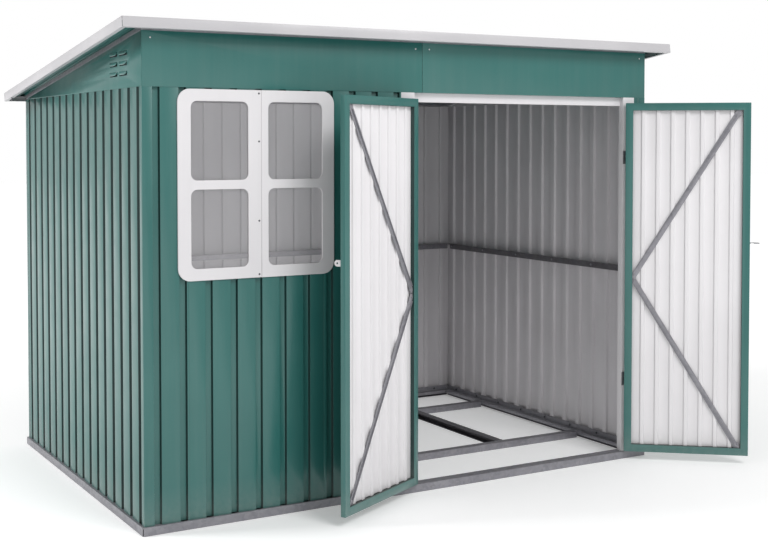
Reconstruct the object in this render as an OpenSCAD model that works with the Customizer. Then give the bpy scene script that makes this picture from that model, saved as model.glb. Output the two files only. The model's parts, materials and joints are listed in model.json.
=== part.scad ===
// Metal garden storage shed: sheet-steel walls on a folded base frame, a single-slope roof,
// a fixed two-light window and a pair of side-hung doors. Drawn with both doors standing open.
// +X runs along the front to the right, +Y goes into the depth, +Z is up.

/* [Walls] */
// Outside width of the walls
wall_w = 2450; // [2200:10:3200]
// Outside depth of the walls
wall_d = 1680; // [1300:10:2400]
// Height of the ribbed sheets' top edge above the ground
eave_h = 1685; // [1600:5:2100]
// Height of the front fascia's top edge above the ground
front_h = 1893; // [1750:1:2300]
// Thickness of the ribbed sheets
sheet_t = 1; // [0.6:0.1:2]
// Thickness of folded trims, fascia, gables and corner angles
trim_t = 1.5; // [1:0.1:3]
// Distance from one groove of a wall sheet to the next
rib_pitch = 104.5; // [60:0.5:150]
// Depth of a groove
rib_d = 13; // [6:1:20]
// Width of a groove's floor
groove_w = 24; // [10:1:40]
// Distance from the front left corner to the first groove of the front wall
front_first = 55; // [45:1:100]
// Distance from a side wall's front edge to its first groove
side_first = 49; // [30:1:90]
// Leg of a corner angle on the front and back walls
corner_leg = 40; // [20:1:48]

/* [Base frame] */
// Height of the base rails
rail_h = 33; // [20:1:60]
// Width of the base rails
rail_w = 45; // [30:1:80]
// How far the base rails stand outside the walls
rail_lip = 9; // [3:1:20]
// Metal thickness of the base rails
rail_t = 2; // [1:0.5:4]
// Height of the upstand that the wall sheets are bolted to
upstand_h = 25; // [10:1:50]
// Distance from the front face of the walls to the front cross member's centre line
cross_front = 450; // [300:10:550]
// Distance from the front face of the walls to the back cross member's centre line
cross_back = 1290; // [900:10:1500]
// Distance between the floor joists' centre lines
joist_gap = 735; // [400:5:1000]
// Width of a floor member
joist_w = 40; // [20:1:60]
// Diameter of the anchor holes in the base frame
anchor_d = 11; // [6:0.5:16]

/* [Window] */
// Distance from the left wall's outside to the window surround
window_x = 137; // [125:1:160]
// Height of the surround's lower edge
window_z = 949; // [800:1:1100]
// Width of the surround
window_w = 666; // [600:1:680]
// Height of the surround
window_h = 731; // [600:1:735]
// Distance from the surround's left edge to its centre seam
window_seam = 346; // [300:1:360]
// How far the surround stands out of the wall
surround_d = 8; // [4:1:20]
// Width of one light's opening
light_w = 236; // [180:1:250]
// Height of one light's opening
light_h = 639; // [500:1:670]
// Border left of the left opening, and right of the right one
light_edge = 54; // [40:1:60]
// Border above the openings
light_top = 46; // [30:1:60]
// Height of the bar across each light
muntin_h = 36; // [20:1:60]
// Lap of the surround over the wall sheet at its sides
window_lap_x = 45; // [30:1:50]
// Lap of the surround over the wall sheet at its top and bottom
window_lap_z = 18; // [10:1:30]
// Thickness of the panes
pane_t = 3; // [2:0.5:6]

/* [Doors] */
// Distance from the left wall's outside to the middle of the doorway
door_mid = 1753.5; // [1700:0.5:1780]
// Distance between the two hinge axes
hinge_span = 1138; // [1000:1:1160]
// Gap between the base rails' top and the leaves' lower edge
door_lift = 7; // [5:1:25]
// Height of the leaves
door_h = 1618; // [1500:1:1620]
// Thickness of a leaf
door_t = 22; // [18:1:30]
// How far a closed leaf's outer face stands in front of the walls
door_out = 5; // [5:1:8]
// Gap between a closed leaf and the header behind it
door_clear = 6; // [5:1:12]
// Gap between a closed leaf's hinge side and its jamb
door_side = 5; // [5:1:7]
// Gap between the two closed leaves
door_gap = 5; // [5:1:12]
// Distance from a hinge axis to the leaf's edge
hinge_off = 7; // [6:1:12]
// Width of a jamb's front face
jamb_w = 65; // [40:1:80]
// Lap of the closed leaves over the header
header_lap = 12; // [5:1:20]
// Width of the folded frame round a leaf
stile_w = 34; // [30:1:60]
// Spacing of the ribs in a leaf's sheet
door_pitch = 66; // [50:1:90]
// Depth of the ribs in a leaf's sheet
door_rib = 7; // [4:1:8]
// Width of the diagonal braces
brace_w = 24; // [15:1:40]
// Thickness of the diagonal braces
brace_t = 3; // [1.5:0.5:4]
// Opening angle of the left leaf as drawn
left_open = 151.5; // [0:0.5:160]
// Opening angle of the right leaf as drawn
right_open = 140.2; // [0:0.5:160]

/* [Hinges and hasp] */
// Height of a hinge
hinge_h = 60; // [40:1:90]
// Radius of a hinge barrel
barrel_r = 4.5; // [4:0.5:6]
// Radius of a hinge pin
pin_r = 2.5; // [2:0.1:3]
// Height of the upper hinges above the leaf's lower edge, centre
hinge_up = 1367; // [1200:1:1450]
// Height of the lower hinges above the leaf's lower edge, centre
hinge_low = 335; // [200:1:500]
// Height of the hasp above the leaf's lower edge
hasp_z = 975; // [800:1:1100]
// Reach of the staple in front of the left leaf
staple_out = 33; // [25:1:40]
// Reach of the tongue past the right leaf's free edge
tongue_out = 46; // [40:1:60]

/* [Roof] */
// Overhang of the roof at the front
over_front = 70; // [40:1:120]
// Overhang of the roof at the back
over_back = 30; // [20:1:80]
// Overhang of the roof at each side
over_side = 96; // [50:1:120]
// Height of the trim round the roof
edge_h = 40; // [36:1:60]
// Height of the roof beams
beam_h = 19; // [15:1:30]
// Width of the roof beams
beam_w = 40; // [25:1:60]
// Height of a roof rib
roof_rib = 11; // [6:1:12]

/* [Mid rails] */
// Height of the wall rails' top edge
girt_z = 889; // [700:1:920]
// Height of the wall rails
girt_h = 30; // [20:1:50]

/* [Hidden] */
green = [0.29, 0.47, 0.45];
zinc = [0.62, 0.63, 0.65];
pale = [0.87, 0.86, 0.87];
past = 1;                                   // how far a cut runs past a face
left = -wall_w/2;
front = -wall_d/2;
wall_t = trim_t + rib_d + sheet_t;          // overall thickness of a ribbed wall
rib_run = 3;                                // width of a groove's sloping side
pan_min = 2;                                // least flat left beside a sheet's edge
sheet_h = eave_h - rail_h;
corner_side = 20;                           // leg of a corner angle on a side wall
door_z = rail_h + door_lift;
door_w = (hinge_span - 2*hinge_off - door_gap)/2;
axis_l = left + door_mid - hinge_span/2;
axis_r = left + door_mid + hinge_span/2;
axis_y = front - door_out;
open_l = axis_l + hinge_off - door_side;    // doorway, left edge
open_r = axis_r - hinge_off + door_side;    // doorway, right edge
header_y = door_t - door_out + door_clear;  // the header lies behind the closed leaves
header_d = 22;
header_seat = 7;                            // depth of the header's bearing on the jambs
jamb_d = header_y + header_seat;
jamb_t = 2;
header_z = door_z + door_h - header_lap;
cut_l = window_x + window_lap_x;            // cut-out in the front wall's sheet
cut_r = window_x + window_w - window_lap_x;
cut_z0 = window_z + window_lap_z;
cut_z1 = window_z + window_h - window_lap_z;
surround_r = 50;                            // outer corners of the surround
light_r = 25;                               // corners of the openings
pane_lap = 6;
slope = atan((front_h - eave_h)/wall_d);
function roof_z(y) = front_h - y*tan(slope);
roof_len = wall_d/cos(slope) + over_front + over_back;
edge_drop = 6;                              // the trim hangs this far below the roof plane
edge_flange = 18;
roof_pitch = 190;
roof_floor = 28;
beam_gap = 0.3;
fascia_flange = 20;
gable_end = 40;                             // the gable panel stops short of the back corner
vent_w = 90;
vent_h = 12;
vent_y = 211;                               // centre of the vents nearest the front
vent_step_y = 116;
vent_z = eave_h + 48;
vent_step_z = 39;
girt_t = 2;
anchor_x = 300;                             // anchor holes from the side walls' outsides
joist_places = [-joist_gap, 0, joist_gap];
sheet_in = 3;                               // a leaf's sheet lies this far behind its face
door_floor = 14;
door_margin = 10;                           // least flat beside a leaf sheet's outer ribs
brace_gap = 2;                              // between the braces where they meet
fit = 0.08;                                 // radial clearance of a hinge pin
joint_gap = 0.5;                            // between the barrels of a hinge
plate_t = 2;
plate_w = 32;
staple_t = 3;
staple_h = 25;
staple_in = 8;                              // staple to the left leaf's free edge
staple_hole = 8;
tongue_t = 3;
tongue_web = 8;
tongue_side = 6;                            // clearance beside and before the staple

// ---- shared shapes ----

// Centres of the grooves that lie wholly between two places along a wall
function grooves(from, to, first, pitch, half) =
  [for (k = [0:floor((to - first)/pitch)]) let (c = first + k*pitch)
    if (c - half > from + pan_min && c + half < to - pan_min) c];

// Outline of a ribbed sheet: pans at y = 0, grooves reaching back to y = depth
module ribbed_outline(from, to, first, pitch, depth, floor_w, t) {
  lap = t*(sqrt(rib_run*rib_run + depth*depth) - rib_run)/depth;
  half = floor_w/2;
  g = grooves(from, to, first, pitch, half + rib_run + lap);
  outer = [for (c = g) each [[c - half - rib_run, 0], [c - half, depth],
                             [c + half, depth], [c + half + rib_run, 0]]];
  inner = [for (i = [len(g) - 1:-1:0]) let (c = g[i])
    each [[c + half + rib_run + lap, t], [c + half + lap, depth + t],
          [c - half - lap, depth + t], [c - half - rib_run - lap, t]]];
  polygon(concat([[from, 0]], outer, [[to, 0], [to, t]], inner, [[from, t]]));
}

// Ribbed wall sheet standing between two heights, in a wall's own x along, y inward
module wall_sheet(from, to, first, z0, z1) {
  translate([0, 0, z0]) linear_extrude(z1 - z0)
    ribbed_outline(from, to, first, rib_pitch, rib_d, groove_w, sheet_t);
}

// Places a shape drawn with x from the left wall's outside and y inward from the front
module at_front() { translate([left, front, 0]) children(); }
module at_back() { translate([left + wall_w, -front, 0]) rotate([0, 0, 180]) children(); }
module at_left() { translate([left, front, 0]) mirror([1, -1, 0]) children(); }
module at_right() { translate([-left, front, 0]) rotate([0, 0, 90]) children(); }

// Roof plane: y runs up to the back along the slope from above the front wall's face
module on_roof() { translate([0, front, front_h]) rotate([-slope, 0, 0]) children(); }

// Folded base rail of one side: web outside, flanges inward, upstand behind the sheets
module base_rail(from, to, anchors) {
  difference() {
    translate([from, 0, 0]) rotate([90, 0, 90]) linear_extrude(to - from)
      polygon([[-rail_lip, 0], [rail_w/2, 0], [rail_w/2, rail_t], [rail_t - rail_lip, rail_t],
        [rail_t - rail_lip, rail_h - rail_t], [rail_w - rail_t, rail_h - rail_t],
        [rail_w - rail_t, rail_h/2], [rail_w, rail_h/2], [rail_w, rail_h],
        [wall_t + rail_t, rail_h], [wall_t + rail_t, rail_h + upstand_h],
        [wall_t, rail_h + upstand_h], [wall_t, rail_h], [-rail_lip, rail_h]]);
    for (x = anchors) translate([x, (wall_t + rail_w)/2, -past])
      cylinder(d = anchor_d, h = rail_h + 2*past, $fn = 32);
  }
}

// Channel open to one side, along x, centred on y = 0
module joist(from, to) {
  h = rail_h - rail_t;
  translate([from, 0, 0]) rotate([90, 0, 90]) linear_extrude(to - from)
    difference() {
      translate([-joist_w/2, 0]) square([joist_w, h]);
      translate([-joist_w/2 + rail_t, rail_t]) square([joist_w, h - 2*rail_t]);
    }
}

// ---- base frame ----

// Trims a rail to mitred corners
module mitred(len) {
  intersection() {
    children();
    translate([0, 0, -past]) linear_extrude(rail_h + upstand_h + 2*past)
      polygon([[-rail_lip, -rail_lip], [len + rail_lip, -rail_lip],
               [len - rail_w, rail_w], [rail_w, rail_w]]);
  }
}

module base_front_rail() {
  color(zinc) difference() {
    at_front() mitred(wall_w)
      base_rail(-rail_lip, wall_w + rail_lip, [anchor_x, wall_w - anchor_x]);
    // no upstand across the doorway and its jambs
    translate([open_l - jamb_w, front, rail_h])
      cube([open_r - open_l + 2*jamb_w, rail_w, upstand_h + past]);
  }
}
module base_back_rail() {
  color(zinc) at_back() mitred(wall_w)
    base_rail(-rail_lip, wall_w + rail_lip, [anchor_x, wall_w - anchor_x]);
}
module base_left_rail() {
  color(zinc) at_left() mitred(wall_d) base_rail(-rail_lip, wall_d + rail_lip, []);
}
module base_right_rail() {
  color(zinc) at_right() mitred(wall_d) base_rail(-rail_lip, wall_d + rail_lip, []);
}

module floor_cross_members() {
  color(zinc) for (y = [cross_front, cross_back])
    translate([0, front + y, 0]) joist(left + rail_w, -left - rail_w);
}

module floor_joists() {
  color(zinc) for (x = joist_places) translate([x, front, 0]) rotate([0, 0, 90])
    joist(cross_front + joist_w/2, cross_back - joist_w/2);
}

// ---- walls ----

module wall_side_sheet() {
  translate([0, trim_t, 0])
    wall_sheet(trim_t, wall_d - trim_t, side_first, rail_h, eave_h);
}

module left_wall() { color(green) at_left() wall_side_sheet(); }
module right_wall() { color(green) at_right() wall_side_sheet(); }

module back_sheet(from, to) {
  color(green) at_back() translate([0, trim_t, 0])
    wall_sheet(from, to, front_first, rail_h, eave_h);
}
module back_wall_left_sheet() { back_sheet(wall_w/2, wall_w - wall_t); }
module back_wall_right_sheet() { back_sheet(wall_t, wall_w/2); }

// Piece of the front wall's sheet between two places and two heights
module front_sheet(from, to, z0, z1) {
  color(green) at_front() translate([0, trim_t, 0])
    wall_sheet(from, to, front_first, z0, z1);
}
module front_wall_left_sheet() { front_sheet(wall_t, cut_l, rail_h, eave_h); }
module front_wall_window_sheets() {
  front_sheet(cut_l, cut_r, rail_h, cut_z0);
  front_sheet(cut_l, cut_r, cut_z1, eave_h);
}
module front_wall_middle_sheet() {
  front_sheet(cut_r, open_l - left - jamb_w, rail_h, eave_h);
}
module front_wall_right_sheet() {
  front_sheet(open_r - left + jamb_w, wall_w - wall_t, rail_h, eave_h);
}

// One corner angle, its corner at the origin, legs along +x and +y
module corner_angle(front_leg) {
  translate([0, 0, rail_h]) linear_extrude(sheet_h)
    polygon([[0, 0], [front_leg, 0], [front_leg, trim_t], [trim_t, trim_t],
             [trim_t, corner_side], [0, corner_side]]);
}
module corner_angles() {
  color(green) for (m = [0, 1], n = [0, 1])
    mirror([m, 0, 0]) mirror([0, n, 0]) translate([left, front, 0])
      corner_angle(corner_leg);
}

// Post beside the doorway: a channel open to the back, from the base rail to the eave
module door_jamb(x) {
  color(pale) translate([x, front, rail_h]) linear_extrude(sheet_h)
    difference() {
      square([jamb_w, jamb_d]);
      translate([jamb_t, jamb_t]) square([jamb_w - 2*jamb_t, jamb_d]);
    }
}
module door_jamb_left() { door_jamb(open_l - jamb_w); }
module door_jamb_right() { door_jamb(open_r); }

// Channel between the jambs behind the closed leaves' top, open to the back
module door_header() {
  color(pale) translate([open_l, front + header_y, 0]) rotate([90, 0, 90])
    linear_extrude(open_r - open_l) difference() {
      translate([0, header_z]) square([header_d, eave_h - header_z]);
      translate([jamb_t, header_z + jamb_t])
        square([header_d, eave_h - header_z - 2*jamb_t]);
    }
}

// Half of the fascia: a flat pan with a lower and an upper flange folded back
module fascia(from, to, flange_from, flange_to) {
  color(green) {
    translate([from, front, 0]) rotate([90, 0, 90]) linear_extrude(to - from)
      polygon([[0, eave_h], [trim_t, eave_h], [trim_t, roof_z(trim_t)], [0, roof_z(0)]]);
    translate([flange_from, front, 0]) rotate([90, 0, 90])
      linear_extrude(flange_to - flange_from) {
        translate([0, eave_h]) square([jamb_d, trim_t]);
        polygon([[0, roof_z(0) - trim_t], [fascia_flange, roof_z(fascia_flange) - trim_t],
                 [fascia_flange, roof_z(fascia_flange)], [0, roof_z(0)]]);
      }
  }
}
module fascia_left() { fascia(left, 0, left + 2*trim_t, 0); }
module fascia_right() { fascia(0, -left, 0, -left - 2*trim_t); }

// Gable panel over a side wall, with six louvred vents near the front, two across
module gable() {
  difference() {
    rotate([90, 0, 90]) linear_extrude(trim_t)
      polygon([[trim_t, eave_h], [wall_d - gable_end, eave_h],
               [wall_d - gable_end, roof_z(wall_d - gable_end)],
               [trim_t, roof_z(trim_t)]]);
    for (i = [0:1], j = [0:2])
      translate([-past, vent_y + i*vent_step_y - vent_w/2, vent_z + j*vent_step_z])
        cube([trim_t + 2*past, vent_w, vent_h]);
  }
}
module left_gable() { color(green) translate([left, front, 0]) gable(); }
module right_gable() { color(green) mirror([1, 0, 0]) translate([left, front, 0]) gable(); }

// Angle rail fixed to the inner side of a wall's ribs, along x, y inward
module girt(from, to) {
  translate([from, wall_t, girt_z - girt_h]) rotate([90, 0, 90]) linear_extrude(to - from)
    polygon([[0, 0], [girt_t, 0], [girt_t, girt_h - girt_t], [girt_h, girt_h - girt_t],
             [girt_h, girt_h], [0, girt_h]]);
}
module left_wall_rail() {
  color(zinc) at_left() girt(wall_t, wall_d - wall_t - girt_h);
}
module right_wall_rail() {
  color(zinc) at_right() girt(wall_t, wall_d - wall_t - girt_h);
}
module back_wall_rail() { color(zinc) at_back() girt(wall_t, wall_w - wall_t); }

// ---- roof ----

module roof_beam(x0, x1, y0, y1) {
  translate([x0, y0, 0]) cube([x1 - x0, y1 - y0, beam_h]);
}
module roof_beams() {
  span = wall_d/cos(slope);
  third = (span - beam_w)/3;
  inner = left + beam_w + beam_gap;
  color(zinc) on_roof() {
    for (k = [0:3]) roof_beam(inner, -inner, k*third, k*third + beam_w);
    for (x = [left, -left - beam_w]) roof_beam(x, x + beam_w, 0, span);
  }
}

// Ribbed roof sheet on the beams, its ribs running down the slope
module roof_sheets() {
  half = wall_w/2 + over_side - trim_t;
  color(pale) on_roof() translate([0, roof_len - over_front - trim_t, beam_h])
    rotate([90, 0, 0]) linear_extrude(roof_len - 2*trim_t)
      ribbed_outline(-half, half, -(floor(half/roof_pitch) + 0.5)*roof_pitch,
                     roof_pitch, roof_rib, roof_floor, sheet_t);
}

// Channel round the roof, web outside, along x from 0 to len, y inward
module roof_edge(len) {
  top = edge_h - edge_drop;
  intersection() {
    rotate([90, 0, 90]) linear_extrude(len)
      polygon([[0, -edge_drop], [edge_flange, -edge_drop], [edge_flange, trim_t - edge_drop],
        [trim_t, trim_t - edge_drop], [trim_t, top - trim_t], [edge_flange, top - trim_t],
        [edge_flange, top], [0, top]]);
    translate([0, 0, -edge_drop - past]) linear_extrude(edge_h + 2*past)
      polygon([[0, 0], [len, 0], [len - edge_flange, edge_flange],
               [edge_flange, edge_flange]]);
  }
}
roof_half = wall_w/2 + over_side;
module roof_edge_front() {
  color(pale) on_roof() translate([-roof_half, -over_front, 0]) roof_edge(2*roof_half);
}
module roof_edge_back() {
  color(pale) on_roof() translate([roof_half, roof_len - over_front, 0])
    rotate([0, 0, 180]) roof_edge(2*roof_half);
}
module roof_edge_left() {
  color(pale) on_roof() translate([-roof_half, roof_len - over_front, 0])
    rotate([0, 0, -90]) roof_edge(roof_len);
}
module roof_edge_right() {
  color(pale) on_roof() translate([roof_half, -over_front, 0])
    rotate([0, 0, 90]) roof_edge(roof_len);
}

// ---- window ----

module rounded(w, h, r) {
  translate([r, 0]) square([w - 2*r, h]);
  translate([0, r]) square([w, h - 2*r]);
  for (x = [r, w - r], z = [r, h - r]) translate([x, z]) circle(r = r, $fn = 48);
}
// Places a flat shape drawn in x and z at a depth behind the walls' outside
module on_front(y, t) {
  translate([left, front + y + t, 0]) rotate([90, 0, 0]) linear_extrude(t) children();
}
light_z = window_z + window_h - light_top - light_h;
module light(x) {
  translate([x, light_z]) difference() {
    rounded(light_w, light_h, light_r);
    translate([-past, (light_h - muntin_h)/2]) square([light_w + 2*past, muntin_h]);
  }
}
light_x = [window_x + light_edge, window_x + window_w - light_edge - light_w];
module surround(from, to) {
  color(pale) on_front(trim_t - surround_d, surround_d) difference() {
    intersection() {
      translate([window_x, window_z]) rounded(window_w, window_h, surround_r);
      translate([from, window_z - past]) square([to - from, window_h + 2*past]);
    }
    for (x = light_x) light(x);
  }
}
module window_surround_left() { surround(window_x - past, window_x + window_seam); }
module window_surround_right() {
  surround(window_x + window_seam, window_x + window_w + past);
}
module window_panes() {
  color([0.8, 0.85, 0.88, 0.4]) on_front(trim_t, pane_t)
    for (x = light_x) translate([x - pane_lap, light_z - pane_lap])
      rounded(light_w + 2*pane_lap, light_h + 2*pane_lap, light_r);
}

// ---- doors ----

// A leaf is drawn closed: its hinge axis at the origin, x towards the free edge,
// y inward from its outer face
module place_left() { translate([axis_l, axis_y, 0]) rotate([0, 0, -left_open]) children(); }
module place_right() {
  translate([axis_r, axis_y, 0]) rotate([0, 0, right_open]) mirror([1, 0, 0]) children();
}
pan_w = door_w - 2*stile_w;
pan_h = door_h - 2*stile_w;
module leaf_frame() {
  color(green) translate([hinge_off, 0, door_z]) difference() {
    cube([door_w, door_t, door_h]);
    translate([stile_w, -past, stile_w]) cube([pan_w, door_t + 2*past, pan_h]);
  }
}
module leaf_sheet() {
  count = floor((pan_w - door_floor - 2*door_margin)/door_pitch);
  color(pale) translate([hinge_off + stile_w, sheet_in, door_z + stile_w])
    linear_extrude(pan_h)
      ribbed_outline(0, pan_w, (pan_w - count*door_pitch)/2, door_pitch, door_rib,
                     door_floor, sheet_t);
}
// Diagonal bars from the free edge's corners to mid-height at the hinge side
module leaf_braces() {
  y = sheet_in + door_rib + sheet_t;
  mid = pan_h/2;
  tilt = atan2(mid, pan_w);
  dx = brace_w/sin(tilt);
  color(zinc) translate([hinge_off + stile_w, y + brace_t, door_z + stile_w])
    rotate([90, 0, 0]) linear_extrude(brace_t) for (up = [0, 1])
      translate([0, mid]) mirror([0, up]) translate([0, -mid])
        intersection() {
          square([pan_w, mid - brace_gap/2]);
          polygon([[pan_w - dx, 0], [pan_w, 0], [dx/2, mid], [-dx/2, mid]]);
        }
}
hinge_places = [door_z + hinge_up, door_z + hinge_low];
barrel_h = hinge_h/3;
module leaf_hinges() {
  color(zinc) for (z = hinge_places) translate([0, 0, z - barrel_h/2 + joint_gap])
    difference() {
      union() {
        cylinder(r = barrel_r, h = barrel_h - 2*joint_gap, $fn = 32);
        translate([0, -plate_t, 0]) cube([plate_w + hinge_off, plate_t,
                                          barrel_h - 2*joint_gap]);
      }
      translate([0, 0, -past]) cylinder(r = pin_r + fit, h = barrel_h + 2*past, $fn = 32);
    }
}
// Foot on the jamb, two barrels beside it and the pin through the leaf's one
module jamb_hinge(z) {
  foot_y = door_out - plate_t;
  translate([0, 0, z - hinge_h/2]) {
    cylinder(r = pin_r, h = hinge_h, $fn = 32);
    for (k = [0, 2]) translate([0, 0, k*barrel_h]) {
      cylinder(r = barrel_r, h = barrel_h, $fn = 32);
      translate([-plate_w, foot_y, 0]) cube([plate_w, plate_t, barrel_h]);
    }
    translate([-plate_w, foot_y, 0])
      cube([plate_w - barrel_r - joint_gap, plate_t, hinge_h]);
  }
}
module jamb_hinges() {
  color(zinc) for (z = hinge_places) {
    translate([axis_l, axis_y, 0]) jamb_hinge(z);
    translate([axis_r, axis_y, 0]) mirror([1, 0, 0]) jamb_hinge(z);
  }
}
// Upright padlock eye in front of the left leaf, near its free edge
module left_door_staple() {
  x = hinge_off + door_w - staple_in - staple_t;
  r = staple_h/2;
  color(pale) place_left() translate([x, 0, door_z + hasp_z]) {
    rotate([90, 0, 90]) linear_extrude(staple_t) difference() {
      union() {
        translate([r - staple_out, -r]) square([staple_out - r, staple_h]);
        translate([r - staple_out, 0]) circle(r = r, $fn = 48);
      }
      translate([r - staple_out, 0]) circle(d = staple_hole, $fn = 32);
    }
    translate([-plate_w + staple_t, -plate_t, -r]) cube([plate_w, plate_t, staple_h]);
  }
}
// Flat tongue past the right leaf's free edge, notched to straddle the staple
module right_door_tongue() {
  edge = hinge_off + door_w;
  staple_x = edge + door_gap + staple_in;
  depth = staple_out + tongue_side + tongue_web;
  color(zinc) place_right() translate([0, 0, door_z + hasp_z]) {
    difference() {
      translate([edge - plate_w, -depth, -tongue_t/2])
        cube([plate_w + tongue_out, depth, tongue_t]);
      translate([staple_x - tongue_side, tongue_web - depth, -tongue_t])
        cube([staple_t + 2*tongue_side, depth, 2*tongue_t]);
      translate([edge, -plate_t - tongue_side, -tongue_t])
        cube([tongue_out + past, depth, 2*tongue_t]);
    }
    translate([edge - plate_w, -plate_t, -staple_h/2]) cube([plate_w, plate_t, staple_h]);
  }
}
module left_door_frame() { place_left() leaf_frame(); }
module left_door_sheet() { place_left() leaf_sheet(); }
module left_door_braces() { place_left() leaf_braces(); }
module left_door_hinges() { place_left() leaf_hinges(); }
module right_door_frame() { place_right() leaf_frame(); }
module right_door_sheet() { place_right() leaf_sheet(); }
module right_door_braces() { place_right() leaf_braces(); }
module right_door_hinges() { place_right() leaf_hinges(); }

base_front_rail();
base_back_rail();
base_left_rail();
base_right_rail();
floor_cross_members();
floor_joists();
left_wall();
right_wall();
back_wall_left_sheet();
back_wall_right_sheet();
front_wall_left_sheet();
front_wall_window_sheets();
front_wall_middle_sheet();
front_wall_right_sheet();
corner_angles();
door_jamb_left();
door_jamb_right();
door_header();
fascia_left();
fascia_right();
left_gable();
right_gable();
left_wall_rail();
right_wall_rail();
back_wall_rail();
roof_beams();
roof_sheets();
roof_edge_front();
roof_edge_back();
roof_edge_left();
roof_edge_right();
window_surround_left();
window_surround_right();
window_panes();
jamb_hinges();
left_door_frame();
left_door_sheet();
left_door_braces();
left_door_hinges();
left_door_staple();
right_door_frame();
right_door_sheet();
right_door_braces();
right_door_hinges();
right_door_tongue();
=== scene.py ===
"""Metal storage shed with both doors open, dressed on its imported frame."""
import json
import math

import bmesh
import bpy
from mathutils import Matrix, Vector

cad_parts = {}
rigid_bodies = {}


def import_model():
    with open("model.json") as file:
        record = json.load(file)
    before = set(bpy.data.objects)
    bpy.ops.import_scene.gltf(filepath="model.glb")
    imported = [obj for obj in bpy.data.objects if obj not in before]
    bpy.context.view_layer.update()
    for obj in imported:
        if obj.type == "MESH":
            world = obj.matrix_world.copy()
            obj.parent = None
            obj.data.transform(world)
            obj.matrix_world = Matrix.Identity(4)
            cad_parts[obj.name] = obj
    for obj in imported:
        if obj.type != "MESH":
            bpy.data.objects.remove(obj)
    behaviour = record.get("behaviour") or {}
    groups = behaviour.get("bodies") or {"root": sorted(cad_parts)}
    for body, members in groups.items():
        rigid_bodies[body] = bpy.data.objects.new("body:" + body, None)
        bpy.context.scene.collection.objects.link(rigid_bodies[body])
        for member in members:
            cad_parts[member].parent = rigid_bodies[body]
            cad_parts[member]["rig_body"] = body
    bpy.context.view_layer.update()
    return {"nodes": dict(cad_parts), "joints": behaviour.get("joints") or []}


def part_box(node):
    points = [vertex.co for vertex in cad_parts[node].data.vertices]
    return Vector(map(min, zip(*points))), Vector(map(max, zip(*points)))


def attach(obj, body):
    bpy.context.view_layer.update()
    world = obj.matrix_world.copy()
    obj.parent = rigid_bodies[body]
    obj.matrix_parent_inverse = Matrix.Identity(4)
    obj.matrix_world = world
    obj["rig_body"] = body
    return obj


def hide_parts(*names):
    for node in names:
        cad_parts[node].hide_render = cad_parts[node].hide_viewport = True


MM = 0.001
SHED, LEFT_LEAF, RIGHT_LEAF = "shed", "left_door", "right_door"
LEFT, RIGHT, FRONT, BACK = (Vector(v) for v in ((-1, 0, 0), (1, 0, 0), (0, -1, 0), (0, 1, 0)))
UP = Vector((0, 0, 1))

RIB_PITCH = 104.5 * MM           # one groove of a wall sheet to the next
SIDE_FIRST, FRONT_FIRST = 49 * MM, 55 * MM
EDGE_GAP = 1.5 * MM              # side walls and gables stop this far short of the corner
DUST_TOP, DUST_FOOT = 170 * MM, 30 * MM
LIGHT_W, LIGHT_H = 236 * MM, 639 * MM
LIGHT_EDGE, LIGHT_TOP = 54 * MM, 46 * MM
MUNTIN = 36 * MM
VENT_FIRST, VENT_STEP_Y, VENT_W = 211 * MM, 116 * MM, 90 * MM
VENT_LOW, VENT_STEP_Z, VENT_H = 48 * MM, 39 * MM, 12 * MM


# ---- materials ----

class Nodes:
    """A node material built up one node at a time."""

    def __init__(self, name):
        self.material = bpy.data.materials.new(name)
        self.material.use_nodes = True
        self.tree = self.material.node_tree
        self.shader = next(n for n in self.tree.nodes if n.type == "BSDF_PRINCIPLED")
        self.place = self.add("ShaderNodeTexCoord").outputs["Object"]

    def add(self, kind, inputs=None, **settings):
        node = self.tree.nodes.new(kind)
        for key, value in settings.items():
            setattr(node, key, value)
        for key, value in (inputs or {}).items():
            self.feed(node.inputs[key], value)
        return node

    def feed(self, socket, value):
        if isinstance(value, bpy.types.NodeSocket):
            self.tree.links.new(value, socket)
        else:
            socket.default_value = value

    def noise(self, scale, detail=3.0, rough=0.5, place=None):
        node = self.add("ShaderNodeTexNoise", {
            "Vector": place or self.place, "Scale": scale, "Detail": detail,
            "Roughness": rough})
        return node.outputs["Fac"]

    def stretched(self, x, y, z):
        node = self.add("ShaderNodeMapping", {"Vector": self.place, "Scale": (x, y, z)})
        return node.outputs["Vector"]

    def span(self, value, low, high, to_low=0.0, to_high=1.0):
        node = self.add("ShaderNodeMapRange", {
            "Value": value, "From Min": low, "From Max": high,
            "To Min": to_low, "To Max": to_high})
        return node.outputs["Result"]

    def mix(self, factor, a, b):
        node = self.add("ShaderNodeMix", data_type="RGBA")
        for index, value in ((0, factor), (6, a), (7, b)):
            self.feed(node.inputs[index], value)
        return node.outputs[2]

    def math(self, operation, a, b=0.0):
        return self.add("ShaderNodeMath", {0: a, 1: b}, operation=operation).outputs[0]

    def height(self):
        return self.add("ShaderNodeSeparateXYZ", {"Vector": self.place}).outputs["Z"]

    def bump(self, height, distance, strength):
        node = self.add("ShaderNodeBump", {
            "Height": height, "Distance": distance, "Strength": strength})
        return node.outputs["Normal"]

    def surface(self, **values):
        for key, value in values.items():
            self.feed(self.shader.inputs[key.replace("_", " ")], value)
        return self.material


def rgba(r, g, b):
    return (r, g, b, 1.0)


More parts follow.
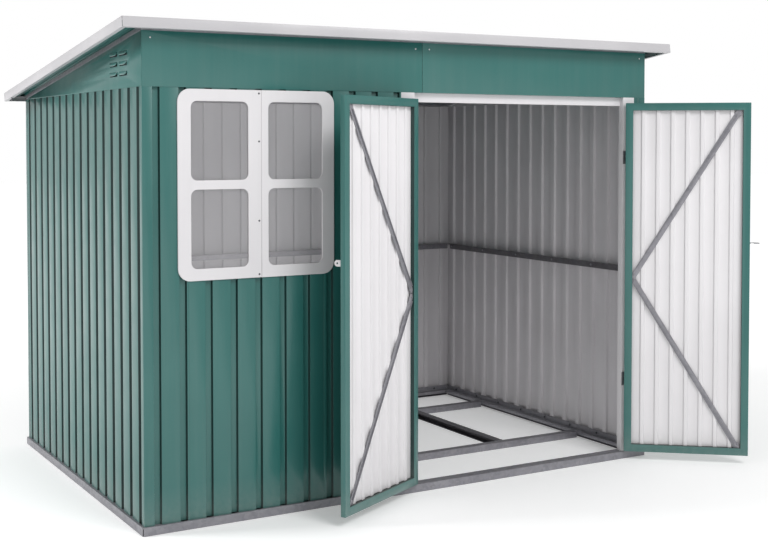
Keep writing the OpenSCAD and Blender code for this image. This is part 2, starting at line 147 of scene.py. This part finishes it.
def paint(name, colour, shade, roughness, coat, wave=0.35):
    """Coated sheet steel: slow drift of tone, faint oil-canning, orange peel, foot dust."""
    n = Nodes(name)
    tone = n.mix(n.span(n.noise(2.3, 4.0), 0.35, 0.65), colour, shade)
    streak = n.span(n.noise(1.0, 4.0, 0.6, n.stretched(26.0, 26.0, 1.3)), 0.45, 0.75)
    tone = n.mix(n.math("MULTIPLY", streak, 0.04), tone, rgba(0.30, 0.31, 0.30))
    dust = n.math("MULTIPLY", n.span(n.height(), DUST_TOP, DUST_FOOT), n.noise(38.0, 5.0, 0.65))
    tone = n.mix(n.math("MULTIPLY", dust, 0.30), tone, rgba(0.34, 0.33, 0.31))
    rough = n.span(n.noise(7.0, 5.0, 0.6), 0.3, 0.7, roughness * 0.82, roughness * 1.2)
    sway = n.noise(1.0, 2.0, 0.5, n.stretched(5.0, 5.0, 1.6))
    peel = n.math("ADD", n.math("MULTIPLY", sway, 3.0 * wave), n.noise(420.0, 2.0))
    return n.surface(Base_Color=tone, Roughness=rough, Normal=n.bump(peel, 0.00004, 0.4),
                     Coat_Weight=coat, Coat_Roughness=0.16)


def galvanised(name, bright, dark, roughness):
    """Hot-dip zinc: crystal spangle, dull bloom and a fine grain."""
    n = Nodes(name)
    cells = n.add("ShaderNodeTexVoronoi", {"Vector": n.place, "Scale": 75.0})
    spangle = n.add("ShaderNodeSeparateColor", {"Color": cells.outputs["Color"]})
    bloom = n.span(n.noise(9.0, 5.0, 0.6), 0.3, 0.7)
    flake = n.math("MULTIPLY", spangle.outputs["Red"], 0.35)
    tone = n.mix(n.math("ADD", flake, n.math("MULTIPLY", bloom, 0.5)), dark, bright)
    rough = n.span(spangle.outputs["Green"], 0.0, 1.0, roughness * 0.8, roughness * 1.2)
    grain = n.bump(n.noise(650.0, 3.0), 0.0001, 0.3)
    return n.surface(Base_Color=tone, Metallic=0.35, Roughness=rough, Normal=grain)


def pane(name):
    """Clear sheet with a faint film of dust."""
    n = Nodes(name)
    haze = n.span(n.noise(3.0, 5.0, 0.6), 0.3, 0.7)
    tone = n.mix(haze, rgba(0.80, 0.78, 0.81), rgba(0.86, 0.84, 0.87))
    film = n.span(n.noise(30.0, 5.0, 0.6), 0.35, 0.7, 0.05, 0.14)
    return n.surface(Base_Color=tone, Roughness=film, Alpha=0.15)


def make_materials():
    return {
        "green": paint("green_paint_gloss", rgba(0.020, 0.125, 0.113),
                       rgba(0.025, 0.138, 0.125), 0.34, 0.35),
        # A near-black copy of the green paint: painted shade for the sideways slopes of the grooves
        # and the door frames' inner returns.
        "fold": paint("green_painted_shade_in_folds", rgba(0.006, 0.030, 0.028),
                      rgba(0.010, 0.040, 0.037), 0.45, 0.05),
        "pale": paint("pale_paint_satin", rgba(0.67, 0.655, 0.672),
                      rgba(0.72, 0.705, 0.72), 0.42, 0.1, 0.15),
        "trim": paint("roof_trim_satin", rgba(0.47, 0.462, 0.478),
                      rgba(0.52, 0.51, 0.525), 0.42, 0.1, 0.15),
        "white": paint("white_paint_satin", rgba(0.73, 0.715, 0.73),
                       rgba(0.77, 0.755, 0.77), 0.40, 0.1, 0.2),
        "lining": paint("sheet_back_coat", rgba(0.60, 0.58, 0.60),
                        rgba(0.66, 0.64, 0.66), 0.36, 0.1, 0.25),
        "zinc": galvanised("zinc_spangle", rgba(0.33, 0.325, 0.35),
                           rgba(0.20, 0.198, 0.22), 0.40),
        # A darker copy of the zinc: painted shade for zinc parts that sit in shadow.
        "dull": galvanised("zinc_painted_shade", rgba(0.17, 0.165, 0.18),
                           rgba(0.10, 0.098, 0.105), 0.45),
        "iron": galvanised("zinc_dark_fittings", rgba(0.11, 0.115, 0.125),
                           rgba(0.06, 0.063, 0.07), 0.40),
        "pane": pane("clear_sheet"),
    }


# ---- mesh helpers ----

def piece(name, mesh, body, slot, *materials):
    """Puts a mesh into the scene as a piece that rides on a body."""
    obj = bpy.data.objects.new(name, mesh)
    bpy.context.scene.collection.objects.link(obj)
    for material in materials:
        mesh.materials.append(material)
    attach(obj, body)
    return obj


def finished(bm, name):
    """Turns a bmesh into a mesh and frees it."""
    mesh = bpy.data.meshes.new(name)
    bm.to_mesh(mesh)
    bm.free()
    return mesh


def soften(obj, width, segments=2):
    """Rounds the folds of a pressed or folded piece."""
    obj.data.shade_smooth()
    rounding = obj.modifiers.new("folds", "BEVEL")
    rounding.width, rounding.segments = width, segments
    rounding.limit_method, rounding.angle_limit = "ANGLE", math.radians(25)
    rounding.harden_normals = True
    return obj


def clean_copy(node):
    """The CAD piece's shape with its flat faces joined up."""
    bm = bmesh.new()
    bm.from_mesh(frame["nodes"][node].data)
    bmesh.ops.remove_doubles(bm, verts=bm.verts, dist=1e-6)
    bmesh.ops.dissolve_limit(bm, angle_limit=math.radians(0.4), verts=bm.verts,
                             edges=bm.edges)
    bm.normal_update()
    return bm


def dressed(node, slot, *materials, pick=None, radius=0.8 * MM, squeeze=None):
    """Stands in for a CAD piece: folds rounded, and each side in its own finish."""
    bm = clean_copy(node)
    if pick:
        for face in bm.faces:
            face.material_index = pick(face)
    if squeeze:
        low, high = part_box(node)
        middle = (low + high) / 2
        for v in bm.verts:
            for axis in range(3):
                size = high[axis] - low[axis]
                v.co[axis] = middle[axis] + (v.co[axis] - middle[axis]) * (
                    1 - squeeze[axis] / size)
    body = frame["nodes"][node]["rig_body"]
    name = node + "_dressed"
    obj = piece(name, finished(bm, name), body, slot, *materials)
    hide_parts(node)
    return soften(obj, radius)


def sides(outward, along):
    """Finish by side: 0 outside, 1 inside, 2 the outer slopes of a fold, which carry painted shade.
    """
    def pick(face):
        out = face.normal.dot(outward)
        if abs(face.normal.dot(along)) > 0.5 and out > -0.05:
            return 2
        return 0 if out > 0.05 or abs(face.normal.z) > 0.9 else 1
    return pick


def outside_in(face):
    """Finish by side for a piece that wraps a corner of the shed: 0 outside, 1 inside."""
    centre = face.calc_center_median()
    away = Vector((math.copysign(1, centre.x), math.copysign(1, centre.y), 0))
    return 0 if face.normal.dot(away) > 0 or abs(face.normal.z) > 0.9 else 1


def revolve(bm, place, normal, rings):
    """Closed head from rings of (radius, six-sided?, height), bottom to top."""
    turn = normal.to_track_quat("Z", "Y").to_matrix()
    count = 12
    loops = []
    for radius, hexed, height in rings:
        loop = []
        for k in range(count):
            r = radius * (math.cos(math.pi / 6) if hexed and k % 2 else 1.0)
            a = 2 * math.pi * k / count
            loop.append(bm.verts.new(place + turn @ Vector(
                (r * math.cos(a), r * math.sin(a), height))))
        loops.append(loop)
    bm.faces.new(reversed(loops[0]))
    for low, high in zip(loops, loops[1:]):
        for k in range(count):
            j = (k + 1) % count
            bm.faces.new((low[k], low[j], high[j], high[k]))
    bm.faces.new(loops[-1])


def fasteners(name, body, slot, material, spots, size=4 * MM, hexed=True):
    """Flanged screw heads standing on surfaces, as one piece."""
    rings = ((size * 1.5, False, -0.2 * MM), (size * 1.5, False, size * 0.18),
             (size * 1.08, False, size * 0.30), (size, hexed, size * 0.32),
             (size, hexed, size * 0.85), (size * 0.8, hexed, size))
    bm = bmesh.new()
    for place, normal in spots:
        revolve(bm, Vector(place), Vector(normal), rings)
    return soften(piece(name, finished(bm, name), body, slot, material), 0.15 * MM, 1)


def block(bm, matrix, low, high):
    """Adds a box between two corners of a local frame."""
    corners = [matrix @ Vector((x, y, z)) for x in (low[0], high[0])
               for y in (low[1], high[1]) for z in (low[2], high[2])]
    verts = [bm.verts.new(c) for c in corners]
    for loop in ((0, 1, 3, 2), (4, 6, 7, 5), (0, 4, 5, 1), (2, 3, 7, 6),
                 (0, 2, 6, 4), (1, 5, 7, 3)):
        bm.faces.new([verts[i] for i in loop])


def local_box(node, matrix):
    """Lowest and highest corner of a CAD piece in a local frame."""
    back = matrix.inverted()
    points = [back @ v.co for v in frame["nodes"][node].data.vertices]
    return tuple(Vector([f(p[i] for p in points) for i in range(3)]) for f in (min, max))


def leaf_matrix(body):
    """Frame of a closed leaf as it now stands: x to its free edge, y inward."""
    joint = next(j for j in frame["joints"] if j["child"] == body)
    hand = joint["axis"][2]
    turn = Matrix.Rotation(-math.radians(joint["range_deg"][1]) * hand, 4, "Z")
    place = Matrix.Translation((joint["pos_m"][0], joint["pos_m"][1], 0))
    return place @ turn @ Matrix.Diagonal((hand, 1, 1, 1))


# ---- walls and roof ----

def make_walls(mats):
    # The third finish, the near-black green, is painted shade on the sideways slopes of the grooves.
    skin = [mats[k] for k in ("green", "lining", "fold")]
    for node, outward, along in (
            ("left_wall", LEFT, FRONT), ("right_wall", RIGHT, FRONT),
            ("back_wall_left_sheet", BACK, LEFT), ("back_wall_right_sheet", BACK, LEFT),
            ("front_wall_left_sheet", FRONT, LEFT), ("front_wall_right_sheet", FRONT, LEFT),
            ("front_wall_window_sheets", FRONT, LEFT),
            ("front_wall_middle_sheet", FRONT, LEFT)):
        dressed(node, "green_paint", *skin, pick=sides(outward, along), radius=1.0 * MM)
    for node, outward in (("left_gable", LEFT), ("right_gable", RIGHT)):
        dressed(node, "green_paint", *skin[:2], radius=0.3 * MM,
                pick=lambda face, out=outward: 1 if face.normal.dot(out) < -0.5 else 0)
    for node in ("fascia_left", "fascia_right"):
        dressed(node, "green_paint", *skin[:2], pick=lambda face: 0 if face.normal.y < 0.5 else 1,
                radius=0.5 * MM, squeeze=(1.6 * MM, 0, 0))
    dressed("corner_angles", "green_paint", *skin[:2], pick=outside_in, radius=0.5 * MM)
    for node in ("door_jamb_left", "door_jamb_right", "door_header"):
        dressed(node, "pale_paint", mats["pale"], radius=0.6 * MM)


def make_louvres(node, outward, mats):
    """Pressed hoods over a gable's vents, open at the lower edge."""
    low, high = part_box(node)
    x = low.x if outward.x < 0 else high.x
    bulge, lift, steps, arcs = 5.5 * MM, 5 * MM, 14, 6
    bm = bmesh.new()
    for column in range(2):
        for row in range(3):
            y = low.y - EDGE_GAP + VENT_FIRST + column * VENT_STEP_Y
            z = low.z + VENT_LOW + row * VENT_STEP_Z
            grid = []
            for i in range(steps + 1):
                t = 2 * i / steps - 1
                swell = max(0.0, 1 - t ** 4) ** 0.5
                line = []
                for j in range(arcs + 1):
                    a = math.pi / 2 * j / arcs
                    line.append(bm.verts.new((
                        x + outward.x * bulge * swell * math.sin(a),
                        y + t * (VENT_W / 2 + 3 * MM),
                        z + VENT_H + lift - (VENT_H + lift - 3 * MM) * swell
                        * (1 - math.cos(a)))))
                grid.append(line)
            for i in range(steps):
                for j in range(arcs):
                    loop = (grid[i][j], grid[i + 1][j], grid[i + 1][j + 1], grid[i][j + 1])
                    if len({tuple(v.co) for v in loop}) > 2:
                        bm.faces.new(loop)
    bmesh.ops.remove_doubles(bm, verts=bm.verts, dist=1e-6)
    bmesh.ops.recalc_face_normals(bm, faces=bm.faces)
    name = node + "_louvres"
    obj = piece(name, finished(bm, name), SHED, "green_paint", mats["green"])
    thick = obj.modifiers.new("sheet", "SOLIDIFY")
    thick.thickness, thick.offset = 0.8 * MM, 0.0
    obj.data.shade_smooth()


def make_roof(mats):
    low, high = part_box("roof_sheets")
    slope = math.atan2(high.z - low.z, high.y - low.y)
    over = Matrix.Rotation(-slope, 4, "X") @ Vector((0, 0, 1))
    dressed("roof_sheets", "pale_paint", mats["trim"], mats["green"],
            pick=lambda face: 0 if face.normal.dot(over) > 0.05 else 1, radius=0.8 * MM)
    dressed("roof_beams", "zinc", mats["zinc"])
    gap = 3 * MM
    for node, squeeze in (("roof_edge_front", (gap, 0, 0)), ("roof_edge_back", (gap, 0, 0)),
                          ("roof_edge_left", (0, gap, 0)), ("roof_edge_right", (0, gap, 0))):
        dressed(node, "pale_paint", mats["trim"], radius=0.8 * MM, squeeze=squeeze)


def make_base(mats):
    gap = 5 * MM
    for node in ("base_front_rail", "base_back_rail"):
        dressed(node, "zinc", mats["zinc"], squeeze=(gap, 0, 0))
    for node in ("base_left_rail", "base_right_rail"):
        dressed(node, "zinc", mats["zinc"], squeeze=(0, gap, 0))
    # The floor joists and the right wall rail take the darker zinc as painted shade.
    for node, tone in (("floor_cross_members", "zinc"), ("floor_joists", "dull"),
                       ("left_wall_rail", "zinc"), ("right_wall_rail", "dull"),
                       ("back_wall_rail", "zinc")):
        dressed(node, "zinc", mats[tone], radius=0.6 * MM)


# ---- window ----

def arc_loop(low, high, radii, steps=10):
    """Rounded rectangle: corners from the lower left, anticlockwise."""
    corners = ((low[0], low[1], 1, 1, 180), (high[0], low[1], -1, 1, 270),
               (high[0], high[1], -1, -1, 0), (low[0], high[1], 1, -1, 90))
    points = []
    for (x, z, sx, sz, start), r in zip(corners, radii):
        if not r:
            points.append((x, z))
            continue
        for k in range(steps + 1):
            a = math.radians(start + 90 * k / steps)
            points.append((x + sx * r + r * math.cos(a), z + sz * r + r * math.sin(a)))
    return points


def plate(name, loops, y_front, y_back, edge):
    """Flat plate standing in x and z, with rounded edges round its outline and holes."""
    curve = bpy.data.curves.new(name, "CURVE")
    curve.dimensions, curve.fill_mode = "2D", "BOTH"
    curve.bevel_depth, curve.bevel_resolution = edge, 3
    curve.extrude = (y_back - y_front) / 2 - edge
    curve.offset = -edge
    for loop in loops:
        line = curve.splines.new("POLY")
        line.points.add(len(loop) - 1)
        for point, (x, z) in zip(line.points, loop):
            point.co = (x, z, 0, 1)
        line.use_cyclic_u = True
    helper = bpy.data.objects.new(name, curve)
    bpy.context.scene.collection.objects.link(helper)
    graph = bpy.context.evaluated_depsgraph_get()
    mesh = bpy.data.meshes.new_from_object(helper.evaluated_get(graph))
    bpy.data.objects.remove(helper)
    mesh.transform(Matrix.Translation((0, (y_front + y_back) / 2, 0))
                   @ Matrix.Rotation(math.pi / 2, 4, "X"))
    return mesh


def make_window(mats):
    """Pressed surround in two halves, each with an upper and a lower light."""
    outer_low, outer_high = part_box("window_surround_left")[0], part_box("window_surround_right")[1]
    wide, tight = 50 * MM, 25 * MM
    for node, lean in (("window_surround_left", 1), ("window_surround_right", -1)):
        low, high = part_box(node)
        if lean > 0:
            x0, radii = low.x + LIGHT_EDGE, (wide, 0, 0, wide)
        else:
            x0, radii = high.x - LIGHT_EDGE - LIGHT_W, (0, wide, wide, 0)
        top = high.z - LIGHT_TOP
        middle = top - LIGHT_H / 2
        half = MUNTIN / 2
        holes = [arc_loop((x0, z0), (x0 + LIGHT_W, z1), (tight,) * 4)
                 for z0, z1 in ((top - LIGHT_H, middle - half), (middle + half, top))]
        seam = 0.4 * MM
        outline = arc_loop((low.x + (seam if lean < 0 else 0), low.z),
                           (high.x - (seam if lean > 0 else 0), high.z), radii)
        mesh = plate(node + "_pressed", [outline, *holes], low.y, high.y, 2.2 * MM)
        mesh.shade_smooth()
        obj = piece(node + "_pressed", mesh, SHED, "pale_paint", mats["pale"])
        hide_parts(node)
    dressed("window_panes", "clear_pane", mats["pane"], radius=0.3 * MM)
    seam_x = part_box("window_surround_left")[1].x
    height = outer_high.z - outer_low.z
    spots = [((seam_x - 11 * MM, outer_low.y, outer_low.z + height * part), FRONT)
             for part in (0.018, 0.304, 0.727, 0.982)]
    fasteners("window_surround_screws", SHED, "zinc", mats["iron"], spots, 2.6 * MM, False)


# ---- doors ----

def make_door(body, mats):
    matrix = leaf_matrix(body)
    turn = matrix.to_3x3()
    outward, along = turn @ FRONT, turn @ RIGHT
    inward = -outward
    frame_low, frame_high = local_box(body + "_frame", matrix)
    back = matrix.inverted()

    def inner_return(face):
        """1, painted shade, on the faces that look across the leaf's opening; 0 elsewhere."""
        centre = back @ face.calc_center_median()
        edge = 5 * MM
        within = (frame_low.x + edge < centre.x < frame_high.x - edge
                  and frame_low.z + edge < centre.z < frame_high.z - edge)
        return 1 if within and abs(face.normal.dot(outward)) < 0.5 else 0

    # The frame's inner returns and the sheet's outer groove slopes take the near-black green as
    # painted shade.
    dressed(body + "_frame", "green_paint", mats["green"], mats["fold"],
            pick=inner_return, radius=1.2 * MM)
    dressed(body + "_sheet", "white_paint", mats["green"], mats["white"], mats["fold"],
            pick=sides(outward, along), radius=0.8 * MM)
    dressed(body + "_braces", "zinc", mats["zinc"], radius=0.4 * MM)
    dressed(body + "_hinges", "zinc", mats["iron"], radius=0.4 * MM)
    low, high = local_box(body + "_sheet", matrix)
    brace_low, brace_high = local_box(body + "_braces", matrix)
    hinge_low, hinge_high = local_box(body + "_hinges", matrix)
    make_brace_lips(body, matrix, brace_low, brace_high, mats)
    middle = (low.z + high.z) / 2
    far_in, far_up, near_in, near_up = 12 * MM, 22 * MM, 9 * MM, 14 * MM
    ends = [(high.x - far_in, low.z + far_up), (high.x - far_in, high.z - far_up),
            (low.x + near_in, middle - near_up), (low.x + near_in, middle + near_up)]
    fasteners(body + "_brace_bolts", body, "zinc", mats["zinc"],
              [(matrix @ Vector((x, brace_high.y, z)), inward) for x, z in ends], 4 * MM)
    centre = (hinge_low.z + hinge_high.z) / 2
    reach = (hinge_high.z - hinge_low.z) / 2 - 9 * MM
    spots = [(matrix @ Vector((x, hinge_low.y, centre + up * reach)), outward)
             for x in (18 * MM, 31 * MM) for up in (-1, 1)]
    fasteners(body + "_hinge_screws", body, "zinc", mats["iron"], spots, 2.4 * MM, False)


def make_brace_lips(body, matrix, low, high, mats):
    """Upstanding fold along each diagonal bar's lower edge."""
    middle = (low.z + high.z) / 2
    width, tall, thick = 24 * MM, 5 * MM, 1.5 * MM
    bm = bmesh.new()
    for way in (-1, 1):
        start = Vector((high.x, 0, middle + way * (high.z - low.z) / 2))
        end = Vector((low.x, 0, middle))
        run = (end - start).normalized()
        length = (end - start).length
        aside = Vector((run.z, 0, -run.x)) * way
        local = Matrix((run, Vector((0, 1, 0)), aside)).transposed().to_4x4()
        local.translation = start + Vector((0, high.y, 0))
        trim = 30 * MM
        block(bm, matrix @ local, (trim, 0, width * 0.5 - thick), (length - trim, tall, width * 0.5))
    bmesh.ops.recalc_face_normals(bm, faces=bm.faces)
    name = body + "_brace_lips"
    soften(piece(name, finished(bm, name), body, "zinc", mats["zinc"]), 0.3 * MM)


def make_hardware(mats):
    dressed("jamb_hinges", "zinc", mats["iron"], radius=0.4 * MM)
    dressed("left_door_staple", "pale_paint", mats["pale"], radius=0.5 * MM)
    dressed("right_door_tongue", "zinc", mats["zinc"], radius=0.4 * MM)


# ---- small fasteners ----

def make_fasteners(mats):
    left_low, left_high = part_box("left_wall")
    right_low, right_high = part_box("right_wall")
    back_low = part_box("back_wall_left_sheet")[0]
    foot = left_low.z + 12 * MM
    proud = 3.2 * MM                 # the base rail's flange and washer
    rail_low, rail_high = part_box("right_wall_rail")
    girt = (rail_low.z + rail_high.z) / 2
    spots = []
    count = int((left_high.y - left_low.y) / RIB_PITCH)
    for k in range(count):
        y = left_low.y + SIDE_FIRST - EDGE_GAP + (k + 0.5) * RIB_PITCH
        if k % 2 == 0:
            spots.append(((right_low.x - proud, y, foot), LEFT))
            spots.append(((left_high.x + proud, y, foot), RIGHT))
    across = int((right_high.x - left_low.x) / RIB_PITCH)
    for k in range(across - 1):
        x = right_high.x - FRONT_FIRST - (k + 0.5) * RIB_PITCH
        if k % 2 == 0:
            spots.append(((x, back_low.y - proud, foot), FRONT))
    fasteners("foot_screws", SHED, "zinc", mats["iron"], spots, 4 * MM)
    spots = []
    for k in range(0, count, 3):
        y = left_low.y + SIDE_FIRST - EDGE_GAP + k * RIB_PITCH
        spots.append(((right_low.x - 2 * MM, y, girt), LEFT))
        spots.append(((left_high.x + 2 * MM, y, girt), RIGHT))
    fasteners("wall_rail_bolts", SHED, "zinc", mats["zinc"], spots, 4 * MM)
    low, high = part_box("fascia_left")
    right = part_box("fascia_right")[1].x
    inset, drop = 34 * MM, 26 * MM
    spots = [((x, low.y, high.z - drop), FRONT)
             for x in (low.x + inset, high.x - inset, high.x + inset, right - inset)]
    fasteners("fascia_screws", SHED, "pale_paint", mats["pale"], spots, 2.2 * MM, False)
    make_trim_bolts(mats)


def make_trim_bolts(mats):
    """Bolts hanging through the side trims' lower flanges near the back."""
    bm = bmesh.new()
    shank, nut = 2.5 * MM, 5 * MM
    rings = ((shank, False, -1 * MM), (shank, False, 4 * MM), (nut, True, 4.1 * MM),
             (nut, True, 9 * MM), (shank, False, 9.1 * MM), (shank, False, 17 * MM))
    for node in ("roof_edge_left", "roof_edge_right"):
        low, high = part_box(node)
        x = low.x + 9 * MM if low.x < 0 else high.x - 9 * MM
        slope = (high.z - low.z) / (high.y - low.y)
        back = 0.12
        revolve(bm, Vector((x, high.y - back, low.z + back * slope)), -UP, rings)
    name = "roof_trim_bolts"
    piece(name, finished(bm, name), SHED, "zinc", mats["zinc"])


# ---- stage ----

def make_floor():
    # The floor glows as well: painted light that grows from near the shed to its far edge and lights
    # the shed from below.
    n = Nodes("studio_floor_painted_glow")
    tone = n.mix(n.noise(1.5, 3.0), rgba(0.86, 0.86, 0.86), rgba(0.89, 0.89, 0.89))
    away = n.add("ShaderNodeVectorMath", {0: n.place}, operation="LENGTH").outputs["Value"]
    material = n.surface(Base_Color=tone, Roughness=0.75, Emission_Color=rgba(1, 1, 1),
                         Emission_Strength=n.span(away, 2.0, 7.0, 0.24, 0.50))
    half = 40.0
    mesh = bpy.data.meshes.new("floor")
    mesh.from_pydata([(x, y, 0) for x, y in ((-half, -half), (half, -half), (half, half),
                                             (-half, half))], [], [(0, 1, 2, 3)])
    mesh.materials.append(material)
    floor = bpy.data.objects.new("floor", mesh)
    bpy.context.scene.collection.objects.link(floor)
    floor.location.z = -0.5 * MM


def softbox(name, place, target, width, height, power):
    light = bpy.data.lights.new(name, "AREA")
    light.shape = "RECTANGLE"
    light.size, light.size_y, light.energy = width, height, power
    lamp = bpy.data.objects.new(name, light)
    bpy.context.scene.collection.objects.link(lamp)
    lamp.location = place
    lamp.rotation_euler = (Vector(target) - Vector(place)).to_track_quat("-Z", "Y").to_euler()


def make_lights():
    world = bpy.data.worlds.new("studio")
    world.use_nodes = True
    tree = world.node_tree
    light, plain = tree.nodes["Background"], tree.nodes.new("ShaderNodeBackground")
    light.inputs["Strength"].default_value = 0.62
    for sky in (light, plain):
        sky.inputs["Color"].default_value = rgba(1.0, 1.0, 1.0)
    blend, rays = tree.nodes.new("ShaderNodeMixShader"), tree.nodes.new("ShaderNodeLightPath")
    tree.links.new(rays.outputs["Is Camera Ray"], blend.inputs[0])
    tree.links.new(light.outputs[0], blend.inputs[1])
    tree.links.new(plain.outputs[0], blend.inputs[2])
    tree.links.new(blend.outputs[0], tree.nodes["World Output"].inputs[0])
    bpy.context.scene.world = world
    softbox("side", (-6.0, 1.5, 4.6), (-1.2, 0.1, 1.2), 1.6, 1.6, 210)
    softbox("front", (0.8, -6.5, 6.2), (0.3, -0.8, 0.8), 3.0, 2.5, 250)


def make_camera():
    data = bpy.data.cameras.new("camera")
    data.sensor_width = 36.0
    data.lens = 58.84
    data.shift_y = -0.1178
    camera = bpy.data.objects.new("camera", data)
    bpy.context.scene.collection.objects.link(camera)
    camera.location = (-2.7888, -5.3214, 1.4756)
    camera.rotation_euler = (math.radians(90 - 2.0), 0, -math.radians(30.144))
    bpy.context.scene.camera = camera


# ---- assembly ----

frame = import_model()
mats = make_materials()
make_walls(mats)
make_louvres("left_gable", LEFT, mats)
make_louvres("right_gable", RIGHT, mats)
make_roof(mats)
make_base(mats)
make_window(mats)
for leaf in (LEFT_LEAF, RIGHT_LEAF):
    make_door(leaf, mats)
make_hardware(mats)
make_fasteners(mats)
make_floor()
make_lights()
make_camera()
bpy.context.scene.view_settings.view_transform = "Standard"
